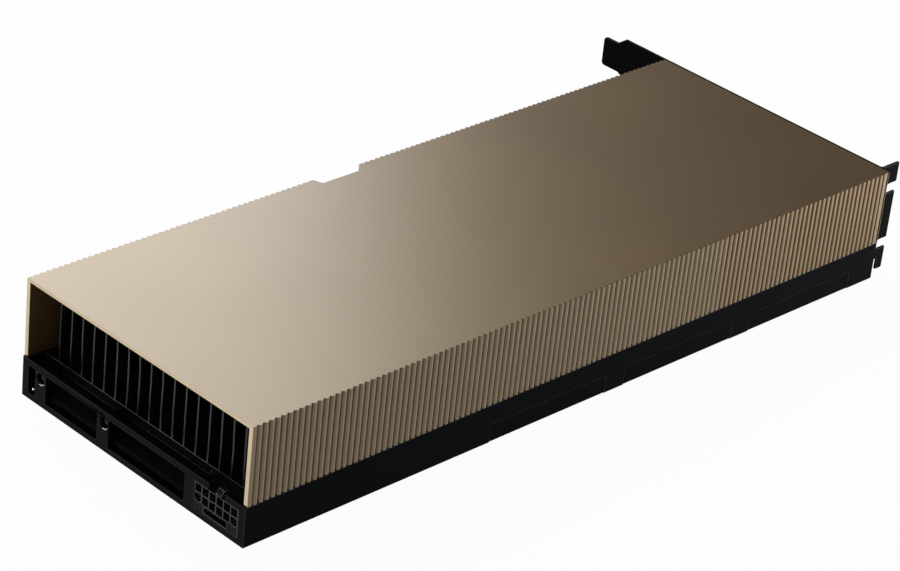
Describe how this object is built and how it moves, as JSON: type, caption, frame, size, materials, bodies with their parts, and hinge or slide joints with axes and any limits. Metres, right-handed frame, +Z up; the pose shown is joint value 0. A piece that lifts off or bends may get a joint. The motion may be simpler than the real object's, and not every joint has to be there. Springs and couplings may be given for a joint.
{
  "type": "passive accelerator card",
  "caption": "Fanless accelerator card for servers: ribbed gold cover ducting air over fins, black base frame, edge connector, rear power header and slot bracket.",
  "frame": {"origin": "centre of the footprint, on the surface that the card lies on", "axes": "+X to the bracket end, +Y to the edge connector side, +Z up through the cover"},
  "size_m": [0.2766, 0.126, 0.0385],
  "materials": {
    "gold_anodised": "satin anodised, gold brown",
    "black_anodised": "matt black anodised",
    "black_sheet": "matt black powder coat",
    "solder_mask": "black solder mask",
    "gold_plate": "gold plated",
    "sink_black": "black oxide",
    "nickel": "nickel plated",
    "silicon": "polished silicon",
    "substrate": "green laminate",
    "chip_black": "moulded epoxy",
    "ferrite": "pressed metal powder",
    "pad_grey": "soft silicone pad",
    "header_black": "moulded nylon",
    "pin_tin": "tin plated",
    "cap_black": "moulded rubberised plastic",
    "screw_black": "black zinc",
    "spring_steel": "spring steel"
  },
  "bodies": {
    "root": {"cover": "gold_anodised", "base_frame": "black_anodised", "threaded_inserts": "nickel", "back_sheet": "black_sheet", "circuit_board": "solder_mask", "edge_contacts": "gold_plate", "sink_plate": "sink_black", "board_standoffs": "nickel", "clamp_standoffs": "nickel", "fin_stack": "sink_black", "package_substrate": "substrate", "package_ring": "nickel", "processor_die": "silicon", "memory_stacks": "silicon", "contact_block": "nickel", "power_stages": "chip_black", "inductors": "ferrite", "power_pads": "pad_grey", "input_capacitors": "chip_black", "input_chokes": "ferrite", "controller_chips": "chip_black", "power_header": "header_black", "power_pins": "pin_tin", "sense_pins": "pin_tin", "bridge_caps": "cap_black", "retention_plate": "spring_steel", "retention_pad": "cap_black", "retention_screws": "nickel", "back_screws": "screw_black", "side_screws": "screw_black", "bracket_screws": "screw_black", "bracket": "black_sheet"}
  },
  "joints": []
}
